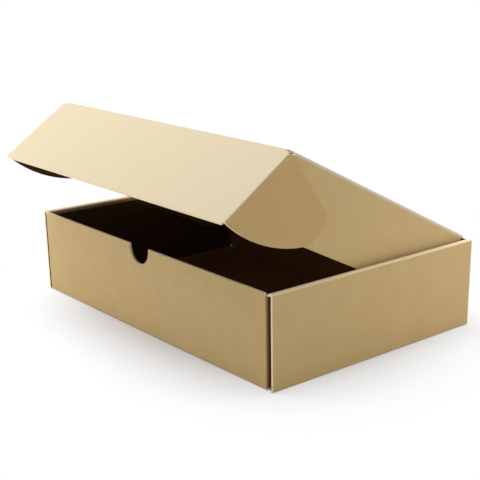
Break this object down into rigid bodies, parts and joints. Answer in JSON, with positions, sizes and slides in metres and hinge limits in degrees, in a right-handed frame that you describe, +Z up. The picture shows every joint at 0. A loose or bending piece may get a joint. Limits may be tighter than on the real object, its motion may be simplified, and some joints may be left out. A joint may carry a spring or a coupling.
{
  "type": "corrugated mailer box",
  "caption": "Roll-end tuck-front mailer box of kraft corrugated board, stood open: a tray with doubled end walls, a thumb notch, and a hinged lid with front, side and ear flaps.",
  "frame": {"origin": "centre of the tray's underside", "axes": "+X along the long side, +Y from the front wall to the hinged back wall, +Z up"},
  "size_m": [0.3, 0.2336, 0.1597],
  "materials": {
    "kraft_board": "matt unbleached kraft liner"
  },
  "bodies": {
    "tray": {"tray": "kraft_board"},
    "lid": {"lid": "kraft_board"},
    "front_flap": {"front_flap": "kraft_board"},
    "side_flap_left": {"side_flap_left": "kraft_board"},
    "side_flap_right": {"side_flap_right": "kraft_board"},
    "ear_left": {"ear_left": "kraft_board"},
    "ear_right": {"ear_right": "kraft_board"}
  },
  "joints": [
    {"name": "lid_hinge", "type": "hinge", "parent": "tray", "child": "lid", "pos_m": [0, 0.09925, 0.0705], "axis": [-1, 0, 0], "range_deg": [-8.9, 163.3]},
    {"name": "front_flap_hinge", "type": "hinge", "parent": "lid", "child": "front_flap", "pos_m": [0, -0.07652, 0.1589], "axis": [-1, 0, 0], "range_deg": [-39.5, 60.8]},
    {"name": "side_flap_left_hinge", "type": "hinge", "parent": "lid", "child": "side_flap_left", "pos_m": [-0.1406, 0.00949, 0.11458], "axis": [0, -0.8934, 0.4493], "range_deg": [0, 90]},
    {"name": "side_flap_right_hinge", "type": "hinge", "parent": "lid", "child": "side_flap_right", "pos_m": [0.1406, 0.00949, 0.11458], "axis": [0, 0.8934, -0.4493], "range_deg": [0, 90]},
    {"name": "ear_left_hinge", "type": "hinge", "parent": "front_flap", "child": "ear_left", "pos_m": [-0.1431, -0.10385, 0.1404], "axis": [0, 0.8281, 0.5606], "range_deg": [0, 90]},
    {"name": "ear_right_hinge", "type": "hinge", "parent": "front_flap", "child": "ear_right", "pos_m": [0.1431, -0.10385, 0.1404], "axis": [0, -0.8281, -0.5606], "range_deg": [0, 90]}
  ]
}
